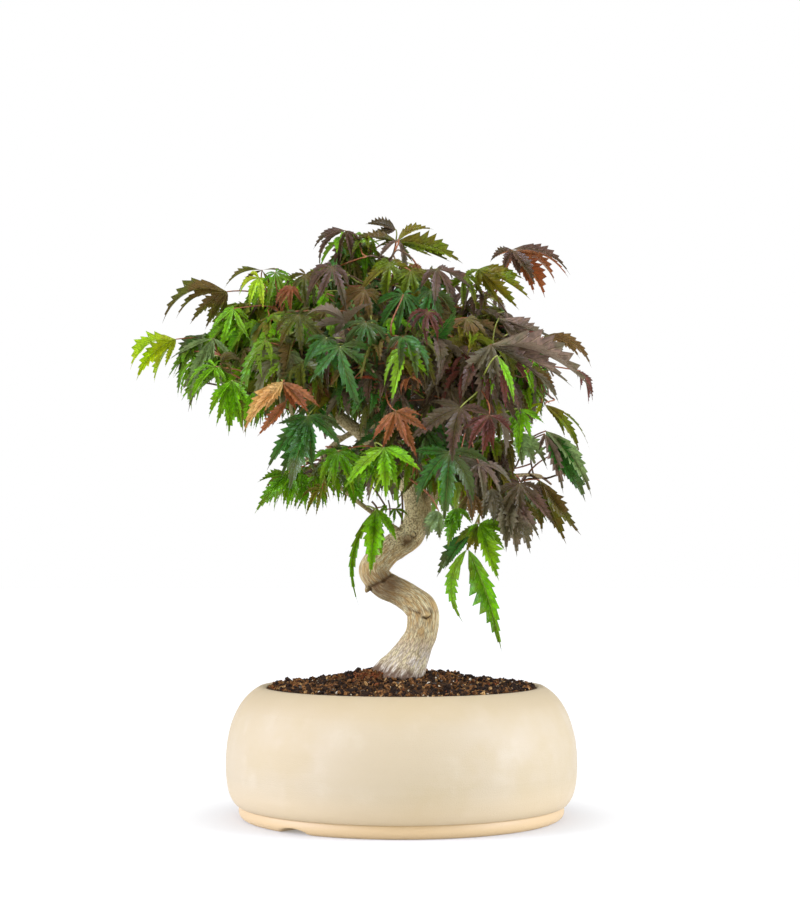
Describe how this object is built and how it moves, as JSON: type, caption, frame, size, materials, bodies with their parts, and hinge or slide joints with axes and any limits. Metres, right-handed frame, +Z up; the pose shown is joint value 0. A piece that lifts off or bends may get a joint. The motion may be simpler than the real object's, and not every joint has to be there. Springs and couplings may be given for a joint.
{
  "type": "potted japanese maple bonsai",
  "caption": "Small Japanese maple grown as a bonsai: an S-shaped trunk under a domed crown of cut leaves in green and bronze, planted in a round bulged ceramic pot.",
  "frame": {"origin": "on the pot's axis, in the plane of its flat underside", "axes": "+Z up, +X to the right and -Y towards the viewer when the tree is seen from its front"},
  "size_m": [0.3142, 0.2757, 0.4066],
  "materials": {
    "pot_ceramic": "matte",
    "compost": "matte",
    "bark": "matte",
    "leaf_green": "satin",
    "leaf_bronze": "satin"
  },
  "bodies": {
    "root": {"pot": "pot_ceramic", "soil": "compost", "trunk": "bark", "bough_left": "bark", "bough_right": "bark", "bough_leader": "bark", "bough_back": "bark", "bough_front": "bark", "bough_low_back": "bark", "bough_low_right": "bark", "bough_low_left": "bark", "foliage_top": "leaf_green", "foliage_upper_left": "leaf_green", "foliage_upper_back": "leaf_green", "foliage_left": "leaf_green", "foliage_front_left": "leaf_green", "foliage_front": "leaf_green", "foliage_back": "leaf_green", "foliage_back_left": "leaf_green", "foliage_low_left": "leaf_green", "foliage_low_front": "leaf_green", "foliage_low_back": "leaf_green", "foliage_low_back_left": "leaf_green", "foliage_upper_right": "leaf_bronze", "foliage_front_right": "leaf_bronze", "foliage_right": "leaf_bronze", "foliage_back_right": "leaf_bronze", "foliage_low_right": "leaf_bronze", "foliage_low_far_right": "leaf_bronze", "spray_far_left": "leaf_green", "spray_arched_left": "leaf_green", "spray_over_trunk": "leaf_green", "spray_upper_right": "leaf_bronze", "spray_hanging_right": "leaf_bronze"}
  },
  "joints": []
}
